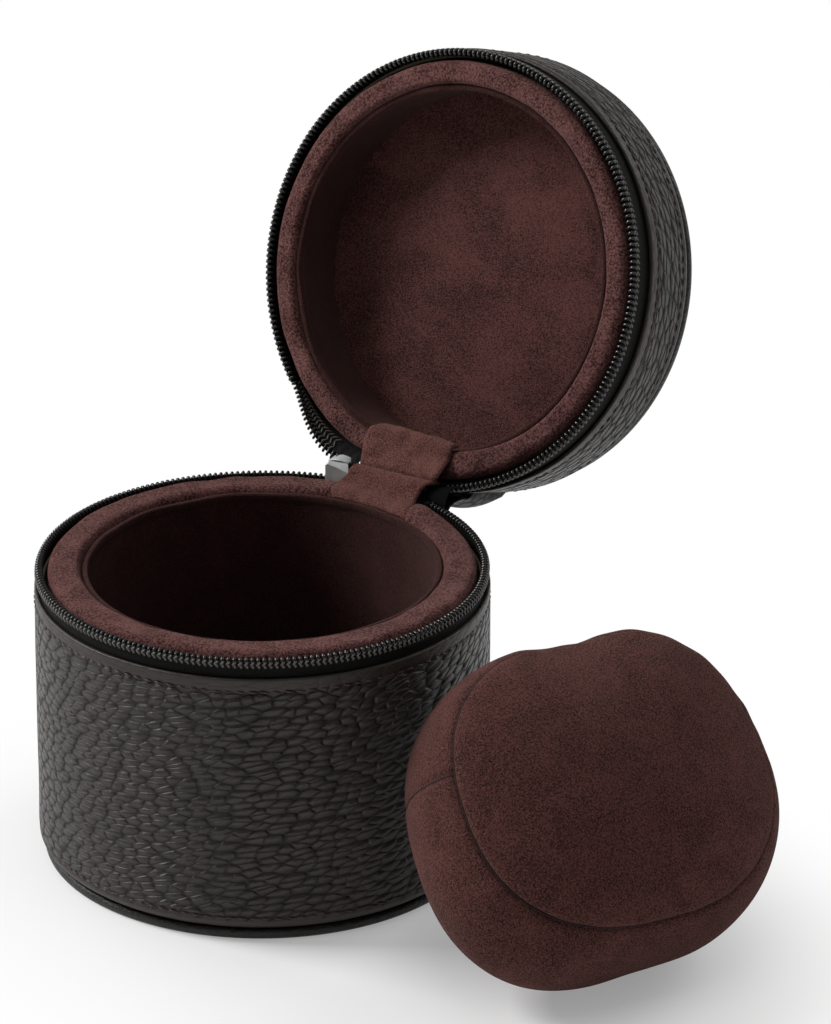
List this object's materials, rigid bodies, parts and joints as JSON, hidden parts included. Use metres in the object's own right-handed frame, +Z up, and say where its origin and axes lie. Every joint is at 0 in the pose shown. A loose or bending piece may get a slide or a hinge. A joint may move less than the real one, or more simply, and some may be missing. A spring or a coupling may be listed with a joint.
{
  "type": "watch travel case",
  "caption": "Round zipped leather case for one watch, padded inside with suede, with a hinged lid and a loose suede cushion.",
  "frame": {"origin": "middle of the base's underside, on the table", "axes": "+Z up, +Y towards the hinge at the back, -Y the front, +X the side on which the cushion leans"},
  "size_m": [0.1757, 0.1601, 0.1618],
  "materials": {
    "leather": "pebbled, semi-matt",
    "suede": "fine nap",
    "suede_panel": "fine nap",
    "cushion_suede": "fine nap",
    "zip_tape": "woven",
    "zip_teeth": "glossy",
    "metal": "polished, worn",
    "board": "grey-brown pressed board",
    "foam": "open-cell foam"
  },
  "bodies": {
    "base": {"base_end_board": "board", "base_end_leather": "leather", "base_floor_board": "board", "base_wall_board": "board", "base_wall_leather": "leather", "base_foam_wall": "foam", "base_rim_pad": "suede", "base_liner": "suede", "base_floor_pad": "suede", "base_zip_tape": "zip_tape", "base_zip_teeth": "zip_teeth", "base_zip_stop": "metal", "hinge_strap": "suede", "hinge_patch": "leather"},
    "lid": {"lid_end_board": "board", "lid_end_leather": "leather", "lid_roof_board": "board", "lid_wall_board": "board", "lid_wall_leather": "leather", "lid_foam_wall": "foam", "lid_roof_foam": "foam", "lid_rim_pad": "suede", "lid_liner": "suede", "lid_inner_panel": "suede_panel", "lid_zip_tape": "zip_tape", "lid_zip_teeth": "zip_teeth", "lid_zip_stop": "metal", "lid_tape_bend": "zip_tape", "lid_teeth_bend": "zip_teeth"},
    "slider": {"zip_slider": "metal", "zip_bail": "metal"},
    "pull": {"zip_pull": "metal"},
    "cushion": {"cushion_core": "foam", "cushion_top_panel": "cushion_suede", "cushion_band_panel": "cushion_suede", "cushion_back_panel": "cushion_suede"}
  },
  "joints": [
    {"name": "lid_hinge", "type": "hinge", "parent": "base", "child": "lid", "pos_m": [0, 0.05062, 0.06748], "axis": [1, 0, 0], "range_deg": [0, 109.46], "deforming": ["hinge_strap", "hinge_patch", "lid_tape_bend", "lid_teeth_bend"]},
    {"name": "zip_slide", "type": "hinge", "parent": "base", "child": "slider", "pos_m": [0, 0, 0.0684], "axis": [0, 0, 1], "range_deg": [0, 324]},
    {"name": "pull_swing", "type": "hinge", "parent": "slider", "child": "pull", "pos_m": [-0.01553, 0.05078, 0.0684], "axis": [0.9563, 0.2924, 0], "range_deg": [0, 65]},
    {"name": "cushion_lift", "type": "slide", "parent": "base", "child": "cushion", "axis": [0, 0, 1], "range_m": [0, 0.12]}
  ]
}
